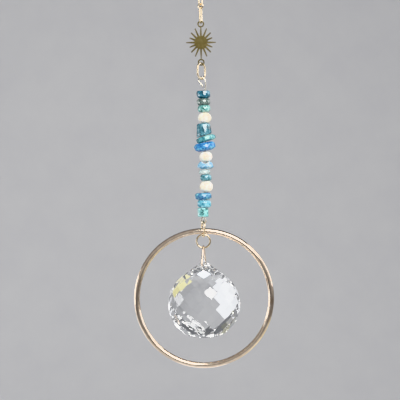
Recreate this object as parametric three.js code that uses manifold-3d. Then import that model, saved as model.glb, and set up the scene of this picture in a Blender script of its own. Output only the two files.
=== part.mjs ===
// Crystal suncatcher: a faceted crystal drop inside a metal hoop, hung from a strand of stone and
// wooden beads, a sunburst charm and a fine chain.
// Millimetres. +Z is up, +X to the right and +Y to the back when the suncatcher is seen from the front.
// The origin is where a hook carries the hanging ring, and everything hangs below it.
import * as THREE from 'three';
import Module from 'manifold-3d';
import { ConvexGeometry } from 'three/addons/geometries/ConvexGeometry.js';
import { ConvexHull } from 'three/addons/math/ConvexHull.js';
import { mergeVertices } from 'three/addons/utils/BufferGeometryUtils.js';

const wasm = await Module();
wasm.setup();

// ---------------------------------------------------------------- driving dimensions

const TURN = 2 * Math.PI;
const GAP = 0.1; // play between two wires that hang in each other
const EYE_GAP = 0.15; // the same in the bead wire's eyes, which cross at a slant
const SHEET_GAP = 0.2; // play between a wire and the edge of a stamped hole
const FUSE = 1e-4; // points closer than this are one vertex
const BORE_SIDES = 8;

const HANGING_RING = { diameter: 12, wire: 1.0, sides: 8, steps: 36 };
const LINK_SHOULDER = 2; // 1 makes a link an ellipse, and more makes its sides straighter

const CHAIN_WIRE = 0.6;
const LONG_LINK = { length: 7.4, width: 2.6 };
const SHORT_LINK = { length: 2.7, width: 2.7 };
// Long and short links by turns, from the top: the chain twists as it hangs.
const LINK_TURNS = [90, 0, 78, -14, 46, -26, 66].map(THREE.MathUtils.degToRad);
const LINK_SIDES = 8;
const LINK_STEPS = 14;

const SUN = {
  disc: 2.75, // radius
  thickness: 0.5,
  rays: 16,
  rayLengths: [7.4, 6.3, 5.75, 5.1, 6.2], // tip radius of a ray, from upright round to level
  rayBase: 0.85,
  rayTip: 0.3,
  topEye: 7.7, // disc's centre to the centre of the eye above
  bottomEye: 8.25,
  eyeHole: 0.9, // radius
  eyeRim: 0.5,
  eyeSides: 20,
};

const OVAL_RING = { length: 7.3, width: 5.5, wire: 0.75, sides: 8, steps: 24 };
const OVAL_LINK_TURN = THREE.MathUtils.degToRad(50);
const HOOP_RING_LENGTH = 7.15;
const HOOP_RING_TURN = THREE.MathUtils.degToRad(104);

const BEAD_WIRE = { diameter: 0.5, sides: 8, stepsPerPoint: 2 };
const BEAD_BORE = 1.1; // hole through every bead
const WOOD_BEAD = { flat: 0.85, steps: 8, around: 16 }; // flat: radius of the face round the hole
const CHIP = {
  sides: 9,
  shoulder: 0.24, // height of the two middle rings above and below the middle, as a share of the height
  uneven: 0.035, // how far a corner strays from its ring
  sway: 0.03,
};

// Both hang in the bottom of the hoop's ring, side by side: rise is from that ring's bottom wire.
const HOOP = { diameter: 58.4, wire: 2.4, sides: 8, steps: 66, back: 0.45, rise: 2.37 };
const ROUND_RING = { diameter: 6.3, wire: 0.7, sides: 8, steps: 24, front: 0.45, rise: 0.93 };
const BAIL = { height: 8.0, wire: 0.7, sides: 8, steps: 28 };
// Half the bail's outline from the end of its pin to its crown, as distance out and height.
const BAIL_SIDE = [
  [2.8, 0],
  [3.8, 0.5],
  [3.65, 1.35],
  [2.35, 4.15],
  [1.15, 6.95],
];
const BAIL_TURN = THREE.MathUtils.degToRad(-12);

const CRYSTAL = {
  radius: 14.77, // centre to each facet of the ball
  apex: 18.2, // centre to the point at the top
  culet: 13.5, // centre to the small flat below
  around: 16, // facets in a full row
  fullRows: 4, // above the girdle's row, and again below it
  // The two half rows below them: steps is the elevation, in steps of a full row's spacing.
  closingRows: [
    { steps: -2.62, shift: 0.5, distance: 14.77 },
    { steps: -3.3, shift: 0, distance: 14.35 },
  ],
  bore: 1.5,
  boreBelowApex: 2.1, // apex to the middle of the bail's pin
};

// ---------------------------------------------------------------- materials

function metal(name, colour, roughness) {
  return new THREE.MeshStandardMaterial({ name, color: colour, roughness, metalness: 1 });
}

function stone(name, colour) {
  return new THREE.MeshStandardMaterial({ name, color: colour, roughness: 0.25, metalness: 0 });
}

const paleGold = metal('pale gold', 0xd9c29c, 0.25);
const roseGold = metal('rose gold', 0xd2b09a, 0.25);
const darkBrass = metal('dark brass', 0x6a5f3c, 0.4);
const silverWire = metal('silver wire', 0xc9c6bb, 0.25);
const creamWood = new THREE.MeshStandardMaterial({ name: 'cream wood', color: 0xf5ecd8, roughness: 0.6 });
const tealStone = stone('teal stone', 0x3e7585);
const blueStone = stone('blue stone', 0x5c96cd);
const aquaStone = stone('aqua stone', 0x8fd0d6);
const paleStone = stone('pale stone', 0xc4dcdc);
const clearCrystal = new THREE.MeshStandardMaterial({
  name: 'clear crystal',
  color: 0xf4f8f8,
  roughness: 0.02,
  transparent: true,
  opacity: 0.35,
});

// ---------------------------------------------------------------- solids and booleans

function solidFrom(geometry) {
  const bare = geometry.clone();
  bare.deleteAttribute('normal');
  bare.deleteAttribute('uv');
  const merged = mergeVertices(bare, FUSE);
  return new wasm.Manifold(
    new wasm.Mesh({
      numProp: 3,
      vertProperties: merged.getAttribute('position').array,
      triVerts: Uint32Array.from(merged.index.array),
    }),
  );
}

function geometryFrom(solid) {
  const { vertProperties, triVerts } = solid.getMesh();
  const geometry = new THREE.BufferGeometry();
  geometry.setAttribute('position', new THREE.BufferAttribute(vertProperties, 3));
  geometry.setIndex(new THREE.BufferAttribute(triVerts, 1));
  const flat = geometry.toNonIndexed();
  flat.computeVertexNormals();
  return flat;
}

// ---------------------------------------------------------------- wires

// A link's centre line in the XZ plane: round ends, and sides that bow out a little between them.
class Oval extends THREE.Curve {
  constructor(halfWidth, halfHeight) {
    super();
    this.halfWidth = halfWidth;
    this.side = halfHeight - halfWidth;
  }

  getPoint(t) {
    const angle = t * TURN;
    const rise = Math.sin(angle);
    const shift = this.side * THREE.MathUtils.clamp(LINK_SHOULDER * rise, -1, 1);
    return new THREE.Vector3(this.halfWidth * Math.cos(angle), 0, this.halfWidth * rise + shift);
  }
}

// Round wire closed on itself along a loop in the XZ plane: a torus bent to follow the loop.
function closedWire(loop, wire, sides, steps) {
  const axis = new THREE.Vector3(0, -1, 0);
  const reach = 2 * wire;
  const ring = new THREE.TorusGeometry(reach, wire / 2, sides, steps);
  const points = ring.getAttribute('position');
  const point = new THREE.Vector3();
  for (let i = 0; i < points.count; i += 1) {
    point.fromBufferAttribute(points, i);
    const t = THREE.MathUtils.euclideanModulo(Math.atan2(point.y, point.x) / TURN, 1);
    const tangent = loop.getTangent(t);
    const outward = new THREE.Vector3().crossVectors(tangent, axis).normalize();
    const centre = loop.getPoint(t);
    centre.addScaledVector(outward, Math.hypot(point.x, point.y) - reach);
    centre.addScaledVector(axis, point.z);
    points.setXYZ(i, centre.x, centre.y, centre.z);
  }
  return ring;
}

function ovalRing({ length, width, wire, sides, steps }) {
  return closedWire(new Oval((width - wire) / 2, (length - wire) / 2), wire, sides, steps);
}

function roundRing(ring) {
  return ovalRing({ ...ring, length: ring.diameter, width: ring.diameter });
}

function polygon(radius, sides) {
  const corners = [];
  for (let i = 0; i < sides; i += 1) {
    const angle = (i / sides) * TURN;
    corners.push(new THREE.Vector2(radius * Math.cos(angle), radius * Math.sin(angle)));
  }
  return new THREE.Shape(corners);
}

function openWire(path, { diameter, sides, stepsPerPoint }) {
  const steps = stepsPerPoint * (path.points.length - 1);
  return new THREE.ExtrudeGeometry(polygon(diameter / 2, sides), { extrudePath: path, steps });
}

// A cylinder along Z to drill with.
function drill(length, diameter, sides = BORE_SIDES) {
  return new THREE.CylinderGeometry(diameter / 2, diameter / 2, length, sides).rotateX(TURN / 4);
}

// ---------------------------------------------------------------- the sunburst charm

// One tapered ray of the sheet, from the middle of the disc out to its tip, lying along +X.
function rayShape(length) {
  const { rayBase, rayTip, disc } = SUN;
  return new THREE.Shape([
    new THREE.Vector2(0, -rayBase / 2),
    new THREE.Vector2(disc, -rayBase / 2),
    new THREE.Vector2(length, -rayTip / 2),
    new THREE.Vector2(length, rayTip / 2),
    new THREE.Vector2(disc, rayBase / 2),
    new THREE.Vector2(0, rayBase / 2),
  ]);
}

function sheet(shape) {
  const { thickness } = SUN;
  const plate = new THREE.ExtrudeGeometry(shape, { depth: thickness, bevelEnabled: false });
  return plate.translate(0, 0, -thickness / 2);
}

// A disc with corners where the rays leave it, its rays, and a ringed eye above and below.
function sunCharm() {
  const { disc, rays, rayLengths, topEye, bottomEye, eyeHole, eyeRim, eyeSides, thickness } = SUN;
  let charm = solidFrom(sheet(polygon(disc, rays)));
  const quarter = rays / 4;
  for (let i = 0; i < rays; i += 1) {
    const fromUpright = Math.abs(quarter - (i % (2 * quarter)));
    const ray = sheet(rayShape(rayLengths[fromUpright])).rotateZ((i / rays) * TURN);
    charm = charm.add(solidFrom(ray));
  }
  for (const height of [topEye, -bottomEye]) {
    const eye = sheet(polygon(eyeHole + eyeRim, eyeSides)).translate(0, height, 0);
    const hole = drill(2 * thickness, 2 * eyeHole, eyeSides).translate(0, height, 0);
    charm = charm.add(solidFrom(eye)).subtract(solidFrom(hole));
  }
  return geometryFrom(charm).rotateX(TURN / 4);
}

// ---------------------------------------------------------------- beads

// Repeatable scatter in -1..1 for the uneven stones.
function scatter(seed) {
  const modulus = 2147483647;
  let state = seed * 7919;
  return () => {
    state = (state * 16807 + 12345) % modulus;
    return (state / modulus) * 2 - 1;
  };
}

// A tumbled stone: the hull of four uneven rings, whose widths are shares of the stone's own.
function chipBlank({ size, rings, shoulder = CHIP.shoulder, seed }) {
  const [width, depth, height] = size;
  const next = scatter(seed);
  const levels = [0.5, shoulder, -shoulder, -0.5];
  const points = [];
  rings.forEach((share, ring) => {
    const level = levels[ring];
    const inner = Math.abs(level) < 0.5;
    for (let i = 0; i < CHIP.sides; i += 1) {
      const angle = ((i + 0.5 * (level > 0)) / CHIP.sides) * TURN;
      const reach = (share * (1 + CHIP.uneven * next())) / 2;
      const rise = level + CHIP.sway * next() * inner;
      const x = width * reach * Math.cos(angle);
      const y = depth * reach * Math.sin(angle);
      points.push(new THREE.Vector3(x, y, rise * height));
    }
  });
  return new ConvexGeometry(points);
}

// A round wooden bead, drilled through and flat round the hole.
function woodenBead([width, , height]) {
  const { flat, steps, around } = WOOD_BEAD;
  const hole = BEAD_BORE / 2;
  const start = Math.asin((2 * flat) / width);
  const profile = [new THREE.Vector2(hole, height / 2), new THREE.Vector2(hole, -height / 2)];
  for (let i = 0; i <= steps; i += 1) {
    const angle = THREE.MathUtils.lerp(Math.PI - start, start, i / steps);
    const level = Math.cos(angle) / Math.cos(start);
    profile.push(new THREE.Vector2((Math.sin(angle) * width) / 2, (level * height) / 2));
  }
  profile.push(profile[0].clone());
  return new THREE.LatheGeometry(profile, around).rotateX(TURN / 4);
}

// ---------------------------------------------------------------- the bead strand

function bead(name, look, [across, down], size, form = {}) {
  return { name, look, across, down, size, ...form };
}

// The beads from the top down: name, look, place, size and form. A place is the distance across from
// the hanging line and down from the crown of the wire's upper eye, and a size is width, depth and
// height. Tilt lifts the right side, slant shears the lower half, both in degrees, and notch is the
// width and depth of a wedge cut into the top.
const BEADS = [
  bead('stone_rondelle_top', tealStone, [0.8, 7.4], [5.8, 5.1, 3.1], { rings: [0.9, 0.99, 0.98, 0.66] }),
  bead('stone_clear_chip', paleStone, [0.75, 10.42], [5.8, 5.2, 2.65], {
    rings: [0.8, 0.99, 0.99, 0.8],
    tilt: 3,
  }),
  bead('stone_green_chip', aquaStone, [0.95, 13.25], [5.5, 4.7, 2.75], {
    rings: [0.8, 0.99, 0.99, 0.78],
    tilt: 4,
  }),
  bead('wood_bead_upper', creamWood, [1.13, 17.12], [5.6, 5.6, 4.55]),
  bead('stone_barrel', tealStone, [0.75, 21.95], [6.5, 5.9, 5], {
    rings: [0.76, 0.84, 1, 0.95],
    shoulder: 0.4,
    slant: 15,
  }),
  bead('stone_thin_chip', aquaStone, [1.5, 25.75], [8.6, 6.2, 2.3], {
    rings: [0.72, 0.98, 0.99, 0.8],
    tilt: 15,
  }),
  bead('stone_blue_slab', blueStone, [1.07, 29.1], [9.2, 6.6, 3.4], {
    rings: [0.78, 0.99, 0.98, 0.66],
    tilt: 10,
  }),
  bead('wood_bead_middle', creamWood, [1.45, 33.25], [5.35, 5.35, 4.35]),
  bead('stone_saddle_chip', paleStone, [1.2, 36.72], [7.2, 5.2, 3.2], {
    rings: [0.56, 0.82, 1, 0.66],
    notch: [3.6, 1.3],
  }),
  bead('stone_pale_disc', paleStone, [0.83, 39.65], [5, 4.7, 2], { rings: [0.8, 0.99, 0.99, 0.8] }),
  bead('stone_small_rondelle', tealStone, [1.33, 42], [4.85, 4.7, 2.5], { rings: [0.84, 0.99, 0.99, 0.8] }),
  bead('wood_bead_lower', creamWood, [1.45, 45.75], [5.5, 5.5, 4.7]),
  bead('stone_wide_chip', blueStone, [0.15, 49.76], [7.1, 5.5, 2.85], {
    rings: [0.8, 0.99, 0.98, 0.74],
    tilt: 2,
  }),
  bead('stone_cyan_chip', aquaStone, [0.5, 52.9], [5.8, 5.3, 3], {
    rings: [0.86, 0.99, 0.99, 0.8],
    tilt: -2,
  }),
  bead('stone_tube', aquaStone, [0, 56.4], [4.7, 4.3, 3.7], { rings: [0.92, 1, 1, 0.92], shoulder: 0.4 }),
];

// The wire's route: its tail, the open upper eye, the stem through the beads, the lower eye and its
// tail, as distance across, forward (+) or back (-), and down from the crown of the upper eye.
const WIRE_ROUTE = [
  [0.75, 0, 4.35],
  [-0.25, 0, 2.85],
  [-1.1, 0, 1.7],
  [-1.12, 0, 1.0],
  [-0.5, 0, 0.12],
  [0.25, 0, 0],
  [1.1, 0, 0.6],
  [1.62, 0, 1.8],
  [1.7, 0, 3.4],
  [1.5, 0, 5.9],
  [1.2, 0, 16.9],
  [1.42, 0, 33],
  [1.42, 0, 45.7],
  [0.75, 0, 52.9],
  [0.22, 0, 56.8],
  [0.12, 0, 58.1],
  [0.7, 0, 59],
  [1.25, 0, 59.9],
  [1, 0, 60.75],
  [0.15, 0, 60.9],
  [-0.75, 0, 60.65],
  [-0.92, 0.05, 59.8],
  [-0.5, 0.3, 58.9],
  [-0.22, 0.42, 58.4],
];

// A smooth route whose steps are spread evenly over its points, so they are short in the eyes.
class WirePath extends THREE.CatmullRomCurve3 {
  getUtoTmapping(u) {
    return u;
  }
}

function beadWirePath(crown) {
  const points = WIRE_ROUTE.map(([across, forward, down]) => [across, -forward, crown - down]);
  return new WirePath(points.map((point) => new THREE.Vector3(...point)));
}

// The point and direction of the stem at a height, found among evenly spaced samples of the route.
function stemAt(path, height) {
  const samples = 600;
  let nearest = 0;
  let least = Infinity;
  for (let i = 0; i <= samples; i += 1) {
    const miss = Math.abs(path.getPoint(i / samples).z - height);
    if (miss < least) {
      least = miss;
      nearest = i / samples;
    }
  }
  return { point: path.getPoint(nearest), along: path.getTangent(nearest) };
}

// Moves the lower half of a blank up or down in proportion to its distance across.
function shearBelow(blank, degrees) {
  const slope = Math.tan(THREE.MathUtils.degToRad(degrees));
  const points = blank.getAttribute('position');
  for (let i = 0; i < points.count; i += 1) {
    if (points.getZ(i) < 0) points.setZ(i, points.getZ(i) + slope * points.getX(i));
  }
}

// A wedge along Y that is widest at its top, as wide and deep as a notch, with its top at the origin.
function notchCutter([width, depth], length) {
  const wedge = new THREE.Shape([
    new THREE.Vector2(0, -depth),
    new THREE.Vector2(width / 2, 0),
    new THREE.Vector2(width / 2, depth),
    new THREE.Vector2(-width / 2, depth),
    new THREE.Vector2(-width / 2, 0),
  ]);
  const cutter = new THREE.ExtrudeGeometry(wedge, { depth: length, bevelEnabled: false });
  return cutter.translate(0, 0, -length / 2).rotateX(TURN / 4);
}

// A stone in its place on the stem, and drilled for it.
function drilledStone({ across, size, rings, shoulder, tilt = 0, slant = 0, notch }, seed, height, stem) {
  const blank = chipBlank({ size, rings, shoulder, seed });
  shearBelow(blank, slant);
  blank.rotateY(-THREE.MathUtils.degToRad(tilt)).translate(across, 0, height);
  let stoneSolid = solidFrom(blank);
  if (notch) {
    const cutter = notchCutter(notch, 2 * size[1]).translate(across, 0, height + size[2] / 2);
    stoneSolid = stoneSolid.subtract(solidFrom(cutter));
  }
  const hole = drill(3 * size[2], BEAD_BORE);
  hole.applyQuaternion(new THREE.Quaternion().setFromUnitVectors(new THREE.Vector3(0, 0, -1), stem.along));
  hole.translate(...stem.point);
  return geometryFrom(stoneSolid.subtract(solidFrom(hole)));
}

// ---------------------------------------------------------------- the crystal and its bail

// One flat facet: the way it faces, and how far its plane lies from the crystal's centre.
function facet(elevation, azimuth, distance) {
  const normal = new THREE.Vector3(
    Math.cos(elevation) * Math.sin(azimuth),
    -Math.cos(elevation) * Math.cos(azimuth),
    Math.sin(elevation),
  );
  return { normal, distance };
}

// The solid that lies behind every facet. A facet's pole is its normal divided by its distance, and
// each triangle in the hull of the poles stands for the corner where its three facets meet.
function cutGem(facets) {
  const poles = facets.map(({ normal, distance }) => normal.clone().divideScalar(distance));
  const hull = new ConvexHull().setFromPoints(poles);
  const corners = hull.faces.map((face) => face.normal.clone().divideScalar(face.constant));
  return new ConvexGeometry(corners);
}

function facetRow(elevation, count, shift, distance = CRYSTAL.radius) {
  const row = [];
  for (let i = 0; i < count; i += 1) {
    row.push(facet(elevation, ((i + shift) / count) * TURN, distance));
  }
  return row;
}

// Full rows of facets round the ball, each turned half a facet from the next, long facets that rise
// to the point, and two half rows that close in on the flat below.
function facetedCrystal(pinHeight) {
  const { radius, apex, culet, around, fullRows, closingRows, bore } = CRYSTAL;
  const step = TURN / around;
  const facets = [facet(-TURN / 4, 0, culet), ...facetRow(Math.asin(radius / apex), around / 2, 0)];
  for (let row = -fullRows; row <= fullRows; row += 1) {
    const shift = row % 2 === 0 ? 0.5 : 0;
    facets.push(...facetRow((row * step) / 2, around, shift));
  }
  for (const { steps, shift, distance } of closingRows) {
    facets.push(...facetRow(steps * step, around / 2, shift, distance));
  }
  const hole = drill(2 * radius, bore).rotateX(TURN / 4).rotateZ(BAIL_TURN);
  hole.translate(0, 0, pinHeight - (bore - BAIL.wire) / 2 + GAP);
  return geometryFrom(solidFrom(cutGem(facets)).subtract(solidFrom(hole)));
}

// The bail's loop: a straight pin below, and two sides that lean in to a narrow crown.
function bailLoop() {
  const left = BAIL_SIDE.map(([x, z]) => [-x, z]).reverse();
  const loop = [[0, 0], ...BAIL_SIDE, [0, BAIL.height], ...left];
  return new THREE.CatmullRomCurve3(loop.map(([x, z]) => new THREE.Vector3(x, 0, z)), true);
}

// ---------------------------------------------------------------- assembly, from the top down

const suncatcher = new THREE.Group();

function place(name, geometry, material, z, { y = 0, turn = 0 } = {}) {
  const mesh = new THREE.Mesh(geometry, material);
  mesh.name = name;
  mesh.position.set(0, y, z);
  mesh.rotation.z = turn;
  suncatcher.add(mesh);
}

// Height of the top wire of a loop that hangs in another loop's bottom wire.
function hungOn(holderHeight, holderWire, wire, gap = GAP) {
  return holderHeight + (holderWire + wire) / 2 + gap;
}

const ringReach = HANGING_RING.diameter / 2;
const ringCentre = HANGING_RING.wire - ringReach;
place('hanging_ring', roundRing(HANGING_RING), paleGold, ringCentre);

let bottom = ringCentre - ringReach + HANGING_RING.wire / 2;
let holderWire = HANGING_RING.wire;
LINK_TURNS.forEach((turn, i) => {
  const size = i % 2 === 0 ? LONG_LINK : SHORT_LINK;
  const top = hungOn(bottom, holderWire, CHAIN_WIRE);
  bottom = top - (size.length - CHAIN_WIRE);
  const link = ovalRing({ ...size, wire: CHAIN_WIRE, sides: LINK_SIDES, steps: LINK_STEPS });
  place(`chain_link_${i + 1}`, link, paleGold, (top + bottom) / 2, { turn });
  holderWire = CHAIN_WIRE;
});

const sunCentre = bottom + CHAIN_WIRE / 2 + SHEET_GAP - SUN.eyeHole - SUN.topEye;
place('sun_charm', sunCharm(), darkBrass, sunCentre);

const linkTop = sunCentre - SUN.bottomEye - SUN.eyeHole + OVAL_RING.wire / 2 + SHEET_GAP;
const linkBottom = linkTop - (OVAL_RING.length - OVAL_RING.wire);
place('oval_link', ovalRing(OVAL_RING), paleGold, (linkTop + linkBottom) / 2, { turn: OVAL_LINK_TURN });

const crown = hungOn(linkBottom, OVAL_RING.wire, BEAD_WIRE.diameter, EYE_GAP);
const wirePath = beadWirePath(crown);
place('bead_wire', openWire(wirePath, BEAD_WIRE), silverWire, 0);

BEADS.forEach((row, i) => {
  const height = crown - row.down;
  if (row.look === creamWood) {
    place(row.name, woodenBead(row.size).translate(row.across, 0, 0), row.look, height);
  } else {
    place(row.name, drilledStone(row, i + 1, height, stemAt(wirePath, height)), row.look, 0);
  }
});

const eyeBottom = crown - Math.max(...WIRE_ROUTE.map(([, , down]) => down));
const hoopRingTop = hungOn(eyeBottom, BEAD_WIRE.diameter, OVAL_RING.wire, EYE_GAP);
const hoopRingBottom = hoopRingTop - (HOOP_RING_LENGTH - OVAL_RING.wire);
const hoopRing = ovalRing({ ...OVAL_RING, length: HOOP_RING_LENGTH });
place('hoop_jump_ring', hoopRing, paleGold, (hoopRingTop + hoopRingBottom) / 2, { turn: HOOP_RING_TURN });

const hoopReach = (HOOP.diameter - HOOP.wire) / 2;
const hoopTop = hoopRingBottom + HOOP.rise;
place('hoop', roundRing(HOOP), roseGold, hoopTop - hoopReach, { y: HOOP.back });

const roundRingReach = (ROUND_RING.diameter - ROUND_RING.wire) / 2;
const roundRingTop = hoopRingBottom + ROUND_RING.rise;
const roundRingBottom = roundRingTop - 2 * roundRingReach;
const front = -ROUND_RING.front;
place('crystal_jump_ring', roundRing(ROUND_RING), paleGold, roundRingTop - roundRingReach, { y: front });

const bailTop = hungOn(roundRingBottom, ROUND_RING.wire, BAIL.wire);
const pinHeight = bailTop - BAIL.height;
const bail = closedWire(bailLoop(), BAIL.wire, BAIL.sides, BAIL.steps);
place('crystal_bail', bail, roseGold, pinHeight, { y: front, turn: TURN / 4 + BAIL_TURN });

const crystalCentre = pinHeight + CRYSTAL.boreBelowApex - CRYSTAL.apex;
place('crystal', facetedCrystal(pinHeight - crystalCentre), clearCrystal, crystalCentre, { y: front });

export default suncatcher;
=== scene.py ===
import math

import bmesh
import bpy
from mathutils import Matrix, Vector


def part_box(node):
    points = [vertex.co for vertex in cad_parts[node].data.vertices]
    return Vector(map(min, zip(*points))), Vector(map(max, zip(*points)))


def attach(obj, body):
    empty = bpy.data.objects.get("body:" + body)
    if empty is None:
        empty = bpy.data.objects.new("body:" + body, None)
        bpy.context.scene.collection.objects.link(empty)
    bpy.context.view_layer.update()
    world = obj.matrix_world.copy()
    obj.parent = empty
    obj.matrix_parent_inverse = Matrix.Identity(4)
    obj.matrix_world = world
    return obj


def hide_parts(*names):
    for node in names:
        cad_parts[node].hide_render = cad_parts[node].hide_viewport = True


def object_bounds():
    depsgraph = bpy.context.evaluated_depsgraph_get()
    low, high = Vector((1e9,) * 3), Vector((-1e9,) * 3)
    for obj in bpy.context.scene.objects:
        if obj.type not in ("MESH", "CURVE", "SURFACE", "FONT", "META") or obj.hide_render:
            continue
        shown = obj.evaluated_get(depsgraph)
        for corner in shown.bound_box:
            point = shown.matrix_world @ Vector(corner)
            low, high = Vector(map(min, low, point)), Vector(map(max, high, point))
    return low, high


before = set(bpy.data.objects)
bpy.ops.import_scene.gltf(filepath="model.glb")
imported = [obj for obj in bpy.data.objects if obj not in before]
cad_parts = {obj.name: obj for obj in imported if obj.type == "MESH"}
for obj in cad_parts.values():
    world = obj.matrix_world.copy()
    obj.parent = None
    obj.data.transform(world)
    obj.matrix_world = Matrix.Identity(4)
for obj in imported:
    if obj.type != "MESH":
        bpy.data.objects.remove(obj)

CAD_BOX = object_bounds()
MM = 0.001

# ---------------------------------------------------------------- sizes that the pieces share

CHAIN_WIRE = 0.6 * MM
LEFT_LEANING_LINKS = (4, 6)  # turned the other way about the hanging line
RING_WIRE = 0.75 * MM  # the oval link and the hoop's own ring
ROUND_RING_WIRE = 0.7 * MM
HANGING_WIRE = 1.0 * MM
BEAD_WIRE = 0.5 * MM
BAIL_WIRE = 0.7 * MM
BEAD_BORE = 1.1 * MM
BEAD_FLAT = 0.85 * MM  # radius of the flat round a wooden bead's hole

SUN_DISC = 2.75 * MM
SUN_THICKNESS = 0.5 * MM
SUN_RAYS = 16
SUN_RAY_REACH = (7.4 * MM, 6.3 * MM, 5.75 * MM, 5.1 * MM, 6.2 * MM)  # upright round to level
SUN_RAY_TIP = 0.3 * MM
SUN_TOP_EYE = 7.7 * MM  # disc's centre to each eye's centre
SUN_BOTTOM_EYE = 8.25 * MM
SUN_EYE_HOLE = 0.9 * MM
SUN_EYE_RIM = 0.5 * MM

# ---------------------------------------------------------------- modelling by hand


def deselect_all():
    bpy.ops.object.select_all(action="DESELECT")


def make_active(piece):
    deselect_all()
    piece.select_set(True)
    bpy.context.view_layer.objects.active = piece


def open_edit(piece):
    """Edit mode on one piece, with nothing in it selected."""
    make_active(piece)
    bpy.ops.object.mode_set(mode="EDIT")
    bpy.ops.mesh.select_all(action="DESELECT")


def close_edit():
    bpy.ops.object.mode_set(mode="OBJECT")


def pick(piece, kind, wanted):
    """Selects the vertices, edges or faces whose middle and direction pass a test."""
    bpy.ops.mesh.select_mode(type=kind)
    mesh = bmesh.from_edit_mesh(piece.data)
    parts = {"VERT": mesh.verts, "EDGE": mesh.edges, "FACE": mesh.faces}[kind]
    place = piece.matrix_world
    for part in parts:
        if kind == "VERT":
            chosen = wanted(place @ part.co, part.normal)
        elif kind == "EDGE":
            start, end = (place @ corner.co for corner in part.verts)
            chosen = wanted((start + end) / 2, end - start)
        else:
            chosen = wanted(place @ part.calc_center_median(), part.normal)
        part.select_set(chosen)
    mesh.select_flush_mode()
    bmesh.update_edit_mesh(piece.data)


def apply_place(piece):
    make_active(piece)
    bpy.ops.object.transform_apply(location=True, rotation=True, scale=True)


def apply_modifier(piece, name, kind, **settings):
    make_active(piece)
    modifier = piece.modifiers.new(name, kind)
    for setting, value in settings.items():
        setattr(modifier, setting, value)
    bpy.ops.object.modifier_apply(modifier=name)


def face_outwards(piece):
    open_edit(piece)
    bpy.ops.mesh.select_all(action="SELECT")
    bpy.ops.mesh.remove_doubles(threshold=0.001 * MM)
    bpy.ops.mesh.normals_make_consistent(inside=False)
    close_edit()


def finish(piece, name, node, material, crease=40):
    """Names a piece, gives it its finish, and sets it in the frame in a CAD node's stead."""
    apply_place(piece)
    bpy.ops.object.shade_smooth_by_angle(angle=math.radians(crease))
    piece.name = name
    piece.data.name = name
    piece.data.materials.clear()
    piece.data.materials.append(material)
    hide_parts(node)
    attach(piece, "root")


def copy_of(node):
    """A merged copy of a CAD node, to refine."""
    piece = bpy.data.objects.new(node + "_copy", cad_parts[node].data.copy())
    bpy.context.scene.collection.objects.link(piece)
    open_edit(piece)
    bpy.ops.mesh.select_all(action="SELECT")
    bpy.ops.mesh.remove_doubles(threshold=0.001 * MM)
    close_edit()
    return piece


# ---------------------------------------------------------------- materials


def shade(red, green, blue):
    """A display colour, 0 to 255 a channel, as the linear colour that a shader takes."""
    linear = []
    for channel in (red, green, blue):
        value = channel / 255
        linear.append(value / 12.92 if value <= 0.04045 else ((value + 0.055) / 1.055) ** 2.4)
    return (*linear, 1.0)


def add(tree, kind, inputs=None, **settings):
    """A shader node with its settings, and a plain value or a socket for each named input."""
    made = tree.nodes.new(kind)
    for setting, value in settings.items():
        setattr(made, setting, value)
    for socket, value in (inputs or {}).items():
        if isinstance(value, bpy.types.NodeSocket):
            tree.links.new(value, made.inputs[socket])
        else:
            made.inputs[socket].default_value = value
    return made


def start_material(name, **plain):
    """A material with one Principled shader, whose plain values are set on its own sockets."""
    material = bpy.data.materials.new(name)
    material.use_nodes = True
    tree = material.node_tree
    surface = tree.nodes["Principled BSDF"]
    for socket, value in plain.items():
        surface.inputs[socket.replace("_", " ")].default_value = value
    return material, tree, surface


def place_on_piece(tree, stretch=(1, 1, 1)):
    """The place on the object, in metres, squeezed or stretched along an axis."""
    coordinates = add(tree, "ShaderNodeTexCoord")
    mapping = add(tree, "ShaderNodeMapping", {"Vector": coordinates.outputs["Object"], "Scale": stretch})
    return mapping.outputs["Vector"]


def noise(tree, place, size, detail=4.0, roughness=0.55, distortion=0.0):
    """Noise whose blotches are about as wide as size, in metres."""
    settings = {
        "Vector": place,
        "Scale": 1 / size,
        "Detail": detail,
        "Roughness": roughness,
        "Distortion": distortion,
    }
    return add(tree, "ShaderNodeTexNoise", settings).outputs["Fac"]


def ramp(tree, factor, stops):
    """A colour for each level of a factor."""
    made = add(tree, "ShaderNodeValToRGB", {"Fac": factor})
    elements = made.color_ramp.elements
    while len(elements) < len(stops):
        elements.new(0.5)
    for element, (level, colour) in zip(elements, stops):
        element.position = level
        element.color = colour
    return made.outputs["Color"]


def spread(tree, factor, low, high, lowest, highest):
    """A factor between low and high, stretched to run from lowest to highest."""
    values = {
        "Value": factor,
        "From Min": low,
        "From Max": high,
        "To Min": lowest,
        "To Max": highest,
    }
    return add(tree, "ShaderNodeMapRange", values).outputs["Result"]


def blend(tree, factor, first, second, how="MIX"):
    made = add(tree, "ShaderNodeMix", data_type="RGBA", blend_type=how)
    for socket, value in ((0, factor), (6, first), (7, second)):
        if isinstance(value, bpy.types.NodeSocket):
            tree.links.new(value, made.inputs[socket])
        else:
            made.inputs[socket].default_value = value
    return made.outputs[2]


def bump(tree, surface, height, depth, strength):
    relief = add(tree, "ShaderNodeBump", {"Height": height, "Distance": depth, "Strength": strength})
    tree.links.new(relief.outputs["Normal"], surface.inputs["Normal"])


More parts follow.
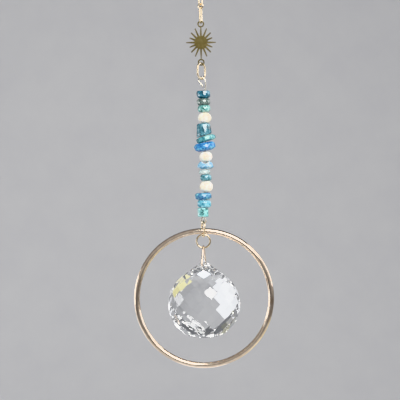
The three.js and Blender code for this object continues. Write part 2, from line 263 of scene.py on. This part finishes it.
def plated_metal(name, bright, dull, gloss=(0.12, 0.26)):
    """Polished plated wire: faint clouding in its colour, and fine handling marks in its gloss."""
    material, tree, surface = start_material(name, Metallic=1.0)
    place = place_on_piece(tree)
    clouds = noise(tree, place, 1.6 * MM, detail=3)
    colour = ramp(tree, clouds, [(0.35, dull), (0.62, bright)])
    tree.links.new(colour, surface.inputs["Base Color"])
    marks = noise(tree, place, 0.25 * MM, detail=3)
    gloss_level = spread(tree, marks, 0.3, 0.7, *gloss)
    tree.links.new(gloss_level, surface.inputs["Roughness"])
    bump(tree, surface, marks, 0.004 * MM, 0.2)
    return material


def aged_brass(name):
    """Etched sheet brass with an olive-brown patina that is thinner in its blotches."""
    material, tree, surface = start_material(name, Metallic=1.0)
    place = place_on_piece(tree)
    blotches = noise(tree, place, 1.1 * MM, detail=6, roughness=0.65)
    patina = ramp(
        tree,
        blotches,
        [(0.3, shade(66, 60, 40)), (0.52, shade(82, 75, 52)), (0.72, shade(100, 92, 68))],
    )
    tree.links.new(patina, surface.inputs["Base Color"])
    grain = noise(tree, place, 0.09 * MM, detail=3)
    tree.links.new(spread(tree, grain, 0.3, 0.7, 0.34, 0.5), surface.inputs["Roughness"])
    bump(tree, surface, grain, 0.02 * MM, 0.5)
    return material


def bleached_wood(name):
    """Pale wood turned into beads: faint rings, fine pores, and warm tones that vary at random."""
    material, tree, surface = start_material(
        name,
        Subsurface_Weight=0.12,
        Subsurface_Radius=(0.9 * MM, 0.6 * MM, 0.35 * MM),
        Subsurface_Scale=1.0,
    )
    place = place_on_piece(tree)
    grain_place = place_on_piece(tree, (1, 1, 0.25))
    rings = add(
        tree,
        "ShaderNodeTexWave",
        {"Vector": grain_place, "Scale": 190.0, "Distortion": 5.0, "Detail": 3.0, "Detail Scale": 1.4},
        wave_type="BANDS",
        bands_direction="X",
    ).outputs["Fac"]
    warm = ramp(
        tree,
        noise(tree, place, 2.4 * MM, detail=4),
        [(0.34, shade(249, 237, 214)), (0.5, shade(254, 248, 234)), (0.66, shade(255, 253, 246))],
    )
    grained = blend(tree, spread(tree, rings, 0.2, 1.0, 0.0, 0.22), warm, shade(236, 218, 186), "MULTIPLY")
    tree.links.new(grained, surface.inputs["Base Color"])
    pores = noise(tree, grain_place, 0.1 * MM, detail=3)
    tree.links.new(spread(tree, pores, 0.35, 0.7, 0.42, 0.62), surface.inputs["Roughness"])
    bump(tree, surface, pores, 0.03 * MM, 0.4)
    return material


def stone(name, deep, body, light, cloud=1.7, clear=0.12, gloss=(0.08, 0.24)):
    """Tumbled stone: cloudy bands of three tones, pale inclusions, and a glossy worn skin."""
    material, tree, surface = start_material(
        name,
        IOR=1.63,
        Transmission_Weight=clear,
        Subsurface_Weight=0.15,
        Subsurface_Radius=(0.4 * MM, 0.8 * MM, 0.9 * MM),
        Subsurface_Scale=1.0,
    )
    place = place_on_piece(tree)
    clouds = noise(tree, place, cloud * MM, detail=5, roughness=0.6, distortion=0.6)
    tones = ramp(tree, clouds, [(0.36, deep), (0.5, body), (0.64, light)])
    streaks = noise(tree, place_on_piece(tree, (1, 1, 2.6)), 0.9 * MM, detail=6, distortion=1.5)
    veined = blend(tree, spread(tree, streaks, 0.58, 0.7, 0.0, 0.55), tones, light)
    specks = noise(tree, place, 0.22 * MM, detail=2)
    speckled = blend(tree, spread(tree, specks, 0.66, 0.74, 0.0, 0.5), veined, deep)
    tree.links.new(speckled, surface.inputs["Base Color"])
    wear = noise(tree, place, 0.5 * MM, detail=4)
    tree.links.new(spread(tree, wear, 0.3, 0.7, *gloss), surface.inputs["Roughness"])
    bump(tree, surface, wear, 0.03 * MM, 0.35)
    return material


def clear_crystal(name):
    """Cut and polished lead crystal, clear all through."""
    material, tree, surface = start_material(
        name,
        Base_Color=(0.985, 0.995, 1.0, 1.0),
        Transmission_Weight=1.0,
        Roughness=0.0,
        IOR=1.55,
    )
    polish = noise(tree, place_on_piece(tree), 3.0 * MM, detail=1)
    bump(tree, surface, polish, 0.002 * MM, 0.05)
    return material


PALE_GOLD = plated_metal("pale_gold_plate", shade(237, 221, 194), shade(212, 192, 158))
ROSE_GOLD = plated_metal("rose_gold_plate", shade(240, 223, 203), shade(226, 205, 183), gloss=(0.08, 0.15))
SILVER_WIRE = plated_metal("bright_wire", shade(226, 222, 208), shade(186, 178, 160), gloss=(0.1, 0.2))
BRASS_SHEET = aged_brass("aged_brass_sheet")
WOOD = bleached_wood("bleached_wood")
CRYSTAL = clear_crystal("clear_crystal")

# ---------------------------------------------------------------- rings, links and wires


def saw_cut(loop, place, along, wire, width=0.05 * MM, depth=0.05 * MM):
    """The closed joint in a ring: a fine groove round the wire where its two ends meet."""
    open_edit(loop)
    for offset in (-width, 0, width):
        pick(loop, "FACE", lambda middle, _: (middle - place).length < 1.5 * wire)
        bpy.ops.mesh.bisect(plane_co=place + offset * along, plane_no=along)

    def in_cut(point, _):
        away = point - place
        return abs(away.dot(along)) < width / 4 and away.length < wire

    pick(loop, "VERT", in_cut)
    bpy.ops.transform.shrink_fatten(value=-depth)
    close_edit()


def wire_loop(node, wire, lean=1, around=96, section=20):
    """A round wire bent to a CAD ring's own length, width and turn about the hanging line."""
    low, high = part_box(node)
    across, deep, tall = high - low
    width = math.hypot(across - wire, deep - wire) + wire
    turn = math.atan2(deep - wire, lean * (across - wire))
    reach = (width - wire) / 2
    deselect_all()
    bpy.ops.mesh.primitive_torus_add(
        major_segments=around,
        minor_segments=section,
        major_radius=reach,
        minor_radius=wire / 2,
        location=(low + high) / 2,
        rotation=(math.pi / 2, math.pi / around, turn),
    )
    loop = bpy.context.object
    stretch = (tall - width) / 2
    middle = loop.location.z
    open_edit(loop)
    pick(loop, "VERT", lambda point, _: point.z > middle)
    bpy.ops.transform.translate(value=(0, 0, stretch))
    pick(loop, "VERT", lambda point, _: point.z < middle)
    bpy.ops.transform.translate(value=(0, 0, -stretch))
    close_edit()
    return loop, reach, stretch, turn


def jointed_ring(name, node, wire, material, joint, lean=1, around=96, section=20):
    """A ring or link with its saw cut at an angle round it, from the right and up."""
    loop, reach, stretch, turn = wire_loop(node, wire, lean, around, section)
    side = Vector((math.cos(turn), math.sin(turn), 0))
    upwards = Vector((0, 0, 1))
    angle = math.radians(joint)
    rise = reach * math.sin(angle) + math.copysign(stretch, math.sin(angle))
    place = loop.location + reach * math.cos(angle) * side + rise * upwards
    along = math.cos(angle) * upwards - math.sin(angle) * side
    saw_cut(loop, place, along, wire)
    finish(loop, name, node, material)
    return loop


def smooth_wire(name, node, wire, material):
    """A CAD wire's own run, rounded from eight flats to a true round."""
    piece = copy_of(node)
    open_edit(piece)
    bpy.ops.mesh.select_all(action="SELECT")
    bpy.ops.mesh.tris_convert_to_quads(face_threshold=math.radians(30), shape_threshold=math.radians(120))
    bpy.ops.transform.shrink_fatten(value=0.05 * wire)
    close_edit()
    apply_modifier(piece, "Rounding", "SUBSURF", levels=2, render_levels=2)
    finish(piece, name, node, material)
    return piece


jointed_ring("hanging_ring", "hanging_ring", HANGING_WIRE, PALE_GOLD, joint=60, around=128)
for number in range(1, 8):
    link = f"chain_link_{number}"
    lean = -1 if number in LEFT_LEANING_LINKS else 1
    jointed_ring(link, link, CHAIN_WIRE, PALE_GOLD, 150, lean, around=64, section=16)
jointed_ring("oval_link", "oval_link", RING_WIRE, PALE_GOLD, joint=-40)
jointed_ring("hoop_jump_ring", "hoop_jump_ring", RING_WIRE, PALE_GOLD, joint=140, lean=-1)
jointed_ring("crystal_jump_ring", "crystal_jump_ring", ROUND_RING_WIRE, PALE_GOLD, joint=50)
HOOP_WIRE = (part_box("hoop")[1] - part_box("hoop")[0]).y
jointed_ring("hoop", "hoop", HOOP_WIRE, ROSE_GOLD, joint=90, around=256, section=32)
smooth_wire("bead_wire", "bead_wire", BEAD_WIRE, SILVER_WIRE)
smooth_wire("crystal_bail", "crystal_bail", BAIL_WIRE, ROSE_GOLD)

# ---------------------------------------------------------------- the sunburst charm


def sun_charm(name, node):
    """An etched sheet: rays drawn out of a disc's rim, an eye above and below, and eased edges."""
    low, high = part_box(node)
    centre = Vector((0, (low.y + high.y) / 2, high.z - SUN_TOP_EYE - SUN_EYE_HOLE - SUN_EYE_RIM))
    facets_per_ray = 4
    around = facets_per_ray * SUN_RAYS
    pitch = 2 * math.pi / SUN_RAYS
    deselect_all()
    bpy.ops.mesh.primitive_cylinder_add(
        vertices=around,
        radius=SUN_DISC,
        depth=SUN_THICKNESS,
        location=centre,
        rotation=(math.pi / 2, pitch / facets_per_ray / 2, 0),
    )
    charm = bpy.context.object
    open_edit(charm)
    for ray in range(SUN_RAYS):
        angle = ray * pitch
        outward = Vector((math.cos(angle), 0, math.sin(angle)))
        quarter = SUN_RAYS // 4
        reach = SUN_RAY_REACH[abs(quarter - ray % (2 * quarter))]
        near = math.cos(1.6 * pitch / facets_per_ray)

        def on_ray(middle, normal):
            return abs(normal.z) < 0.5 and (middle - centre).normalized().dot(outward) > near

        pick(charm, "FACE", on_ray)
        bpy.ops.mesh.extrude_region_move(
            TRANSFORM_OT_translate={"value": outward * (reach - SUN_DISC)}
        )
        base = 2 * SUN_DISC * math.sin(1.5 * pitch / facets_per_ray)
        taper = SUN_RAY_TIP / base
        tip = centre + outward * reach
        bpy.ops.transform.resize(
            value=(
                1 + (taper - 1) * abs(outward.z),
                1,
                1 + (taper - 1) * abs(outward.x),
            ),
            center_override=tip,
        )
    close_edit()
    apply_place(charm)
    for height in (SUN_TOP_EYE, -SUN_BOTTOM_EYE):
        eye_place = centre + Vector((0, 0, height))
        for radius, depth, how in (
            (SUN_EYE_HOLE + SUN_EYE_RIM, SUN_THICKNESS, "UNION"),
            (SUN_EYE_HOLE, 2 * SUN_THICKNESS, "DIFFERENCE"),
        ):
            deselect_all()
            bpy.ops.mesh.primitive_cylinder_add(
                vertices=48, radius=radius, depth=depth, location=eye_place, rotation=(math.pi / 2, 0, 0)
            )
            tool = bpy.context.object
            apply_modifier(charm, "Eye", "BOOLEAN", object=tool, operation=how, solver="EXACT")
            bpy.data.objects.remove(tool)
    apply_modifier(
        charm,
        "Eased edges",
        "BEVEL",
        width=0.06 * MM,
        segments=2,
        limit_method="ANGLE",
        angle_limit=math.radians(50),
    )
    face_outwards(charm)
    finish(charm, name, node, BRASS_SHEET)
    return charm


sun_charm("sun_charm", "sun_charm")

# ---------------------------------------------------------------- beads


def wooden_bead(name, node):
    """A turned bead: a ball with flats above and below, drilled, with its rims eased."""
    low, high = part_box(node)
    middle = (low + high) / 2
    width, _, height = high - low
    level = math.sqrt((width / 2) ** 2 - BEAD_FLAT**2)
    deselect_all()
    bpy.ops.mesh.primitive_uv_sphere_add(segments=64, ring_count=40, radius=width / 2, location=middle)
    bead = bpy.context.object
    open_edit(bead)
    for way in (1, -1):
        bpy.ops.mesh.select_all(action="SELECT")
        bpy.ops.mesh.bisect(
            plane_co=middle + Vector((0, 0, way * level)),
            plane_no=(0, 0, way),
            use_fill=True,
            clear_outer=True,
        )

    def on_flat(point, normal):
        return abs(normal.z) > 0.999 and abs(abs(point.z - middle.z) - level) < 0.01 * MM

    pick(bead, "FACE", on_flat)
    bpy.ops.mesh.inset(thickness=BEAD_FLAT - BEAD_BORE / 2, use_individual=True)
    bpy.ops.mesh.delete(type="ONLY_FACE")

    def on_bore(point, _):
        return math.hypot(point.x - middle.x, point.y - middle.y) < BEAD_BORE / 2 + 0.02 * MM

    pick(bead, "EDGE", on_bore)
    bpy.ops.mesh.bridge_edge_loops()
    pick(bead, "EDGE", lambda point, way: on_bore(point, way) and abs(way.z) < 0.01 * MM)
    bpy.ops.mesh.bevel(offset=0.08 * MM, segments=3)
    bpy.ops.mesh.select_all(action="SELECT")
    bpy.ops.transform.resize(value=(1, 1, height / (2 * level)), center_override=middle)
    close_edit()
    finish(bead, name, node, WOOD)
    return bead


def tumbled_stone(node, material, soften=6):
    """A CAD stone worn smooth at its edges, with a faintly uneven skin."""
    piece = copy_of(node)
    apply_modifier(piece, "Skin", "REMESH", mode="VOXEL", voxel_size=0.13 * MM)
    apply_modifier(piece, "Wear", "SMOOTH", factor=0.5, iterations=soften)
    dents = bpy.data.textures.new(node + "_dents", "CLOUDS")
    dents.noise_scale = 0.9 * MM
    apply_modifier(piece, "Dents", "DISPLACE", texture=dents, strength=0.16 * MM, mid_level=0.5)
    finish(piece, node + "_tumbled", node, material, crease=60)
    return piece


for name in ("wood_bead_upper", "wood_bead_middle", "wood_bead_lower"):
    wooden_bead(name, name)

STONES = [
    # node, slot, then its deep, body and light tones
    ("stone_rondelle_top", "teal_stone", (28, 66, 78), (54, 108, 128), (96, 156, 178), {}),
    ("stone_clear_chip", "pale_stone", (88, 112, 108), (128, 148, 142), (190, 206, 198), {"clear": 0.45}),
    ("stone_green_chip", "aqua_stone", (62, 110, 98), (126, 190, 184), (190, 228, 222), {"clear": 0.25}),
    ("stone_barrel", "teal_stone", (36, 70, 76), (66, 118, 134), (120, 172, 186), {}),
    ("stone_thin_chip", "aqua_stone", (44, 108, 124), (104, 178, 188), (182, 232, 224), {"clear": 0.2}),
    ("stone_blue_slab", "blue_stone", (40, 92, 152), (76, 146, 206), (128, 200, 226), {}),
    ("stone_saddle_chip", "pale_stone", (92, 158, 204), (152, 208, 236), (226, 242, 248), {"clear": 0.25}),
    ("stone_pale_disc", "pale_stone", (128, 152, 150), (184, 200, 198), (222, 232, 228), {}),
    ("stone_small_rondelle", "teal_stone", (52, 100, 102), (92, 148, 160), (140, 192, 206), {}),
    ("stone_wide_chip", "blue_stone", (56, 96, 146), (92, 150, 188), (142, 208, 214), {}),
    ("stone_cyan_chip", "aqua_stone", (60, 138, 160), (110, 190, 212), (176, 234, 246), {"clear": 0.2}),
    ("stone_tube", "aqua_stone", (58, 98, 100), (132, 200, 200), (190, 240, 236), {}),
]

for node, slot, deep, body, light, options in STONES:
    look = stone(node + "_skin", shade(*deep), shade(*body), shade(*light), **options)
    tumbled_stone(node, look)

# ---------------------------------------------------------------- the crystal

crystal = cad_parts["crystal"]
crystal.data.materials.clear()
crystal.data.materials.append(CRYSTAL)

# ---------------------------------------------------------------- floor, light and camera

FLOOR_LEVEL = CAD_BOX[0].z - 260 * MM
BACKDROP = 0.9
SWEEP_RADIUS = 0.35
STAGE_REACH = 6.0  # from the object to the floor's edges
BACKDROP_HALF_WIDTH = 2.4
BACKDROP_HEIGHT = 0.37  # above the sweep: a little more than the view takes in


def pale_floor():
    """A floor that runs up into a backdrop in one smooth sweep."""
    deselect_all()
    bpy.ops.mesh.primitive_plane_add(size=1, location=(0, 0, FLOOR_LEVEL))
    floor = bpy.context.object
    floor.scale = (2 * STAGE_REACH, 2 * STAGE_REACH, 1)
    apply_place(floor)
    far = STAGE_REACH
    open_edit(floor)
    pick(floor, "EDGE", lambda middle, _: abs(middle.y - far) < MM)
    bpy.ops.transform.translate(value=(0, BACKDROP - SWEEP_RADIUS - far, 0))
    bpy.ops.transform.resize(value=(BACKDROP_HALF_WIDTH / STAGE_REACH, 1, 1))
    pick(floor, "EDGE", lambda middle, _: abs(middle.y - (BACKDROP - SWEEP_RADIUS)) < MM)
    steps = 16
    last = Vector((0, BACKDROP - SWEEP_RADIUS, FLOOR_LEVEL))
    for step in range(1, steps + 1):
        angle = math.pi / 2 * step / steps
        place = Vector((
            0,
            BACKDROP - SWEEP_RADIUS + SWEEP_RADIUS * math.sin(angle),
            FLOOR_LEVEL + SWEEP_RADIUS * (1 - math.cos(angle)),
        ))
        bpy.ops.mesh.extrude_region_move(TRANSFORM_OT_translate={"value": place - last})
        last = place
    bpy.ops.mesh.extrude_region_move(TRANSFORM_OT_translate={"value": (0, 0, BACKDROP_HEIGHT)})
    close_edit()
    bpy.ops.object.shade_smooth()
    material, tree, surface = start_material("pale_floor", Roughness=0.85)
    paper = ramp(tree, noise(tree, place_on_piece(tree), 40 * MM), [
        (0.3, shade(205, 205, 207)),
        (0.7, shade(209, 209, 210)),
    ])
    tree.links.new(paper, surface.inputs["Base Color"])
    floor.name = "pale_floor"
    floor.data.materials.append(material)


HANGING_MIDDLE = Vector((0, 0, -150 * MM))


def from_middle(round_by, up_by, distance):
    """A place round from straight behind the object, to the right, and up, both in degrees."""
    turn, rise = math.radians(round_by), math.radians(up_by)
    level = distance * math.cos(rise)
    away = Vector((level * math.sin(turn), level * math.cos(turn), distance * math.sin(rise)))
    return HANGING_MIDDLE + away


def softbox(name, place, target, size, brightness, colour=(1, 1, 1)):
    """A soft rectangular lamp whose face has an even brightness."""
    deselect_all()
    bpy.ops.object.light_add(type="AREA", location=place)
    lamp = bpy.context.object
    lamp.name = name
    lamp.rotation_euler = (target - place).to_track_quat("-Z", "Y").to_euler()
    width, height = size
    lamp.data.shape = "RECTANGLE"
    lamp.data.size = width
    lamp.data.size_y = height
    lamp.data.energy = math.pi * width * height * brightness
    lamp.data.color = colour


SOFTBOXES = [
    # name, round, up, distance, width and height, brightness, colour
    ("key", 160, 32, 0.62, (0.35, 0.3), 14.0, (1.0, 0.98, 0.95)),
    ("right_side", 84, 25, 0.6, (0.4, 0.45), 2.8, (1.0, 0.99, 0.97)),
    ("left_side", -80, 2, 0.6, (0.16, 0.4), 2.2, (0.95, 0.98, 1.0)),
    ("low_left_card", -47, -14, 0.45, (0.52, 0.42), 0.7, (0.96, 0.98, 1.0)),
    ("low_right_card", 56, -38, 0.26, (0.22, 0.16), 0.5, (1.0, 0.9, 0.1)),
    ("low_card", -5, -62, 0.26, (0.16, 0.14), 1.3, (0.97, 0.98, 1.0)),
]


def air():
    """Even light all round, palest in front of the object and dim behind it."""
    world = bpy.data.worlds.new("studio_air")
    bpy.context.scene.world = world
    world.use_nodes = True
    tree = world.node_tree
    ways = add(tree, "ShaderNodeTexCoord")
    way = add(tree, "ShaderNodeSeparateXYZ", {"Vector": ways.outputs["Generated"]})
    depth = spread(tree, way.outputs["Y"], -1.0, 1.0, 0.0, 1.0)
    pale = ramp(tree, depth, [(0.0, shade(186, 187, 190)), (0.45, shade(156, 157, 161)), (1.0, shade(78, 80, 84))])
    tree.links.new(pale, tree.nodes["Background"].inputs["Color"])


def studio():
    for name, round_by, up_by, distance, size, brightness, colour in SOFTBOXES:
        place = from_middle(round_by, up_by, distance)
        softbox(name, place, HANGING_MIDDLE, size, brightness, colour)
    backdrop_middle = Vector((0.1, BACKDROP, -150 * MM))
    softbox("backdrop_wash", Vector((-0.75, 0, -0.12)), backdrop_middle, (0.3, 0.3), 6.0)
    air()
    bpy.context.scene.view_settings.view_transform = "Khronos PBR Neutral"
    paths = bpy.context.scene.cycles  # long enough for the crystal's inner reflections
    paths.max_bounces = 32
    paths.glossy_bounces = 24
    paths.transmission_bounces = 32


VIEW_WIDTH = 166.67 * MM  # across the picture, at the hanging line
VIEW_CENTRE = (-1.2 * MM, -112.6 * MM)
LENS = 100
SENSOR = 36
ROLL = math.radians(0.7)


def camera():
    distance = LENS / SENSOR * VIEW_WIDTH
    deselect_all()
    bpy.ops.object.camera_add(
        location=(VIEW_CENTRE[0], -distance, VIEW_CENTRE[1]), rotation=(math.pi / 2, ROLL, 0)
    )
    eye = bpy.context.object
    eye.name = "camera"
    eye.data.lens = LENS
    eye.data.sensor_width = SENSOR
    bpy.context.scene.camera = eye


pale_floor()
studio()
camera()
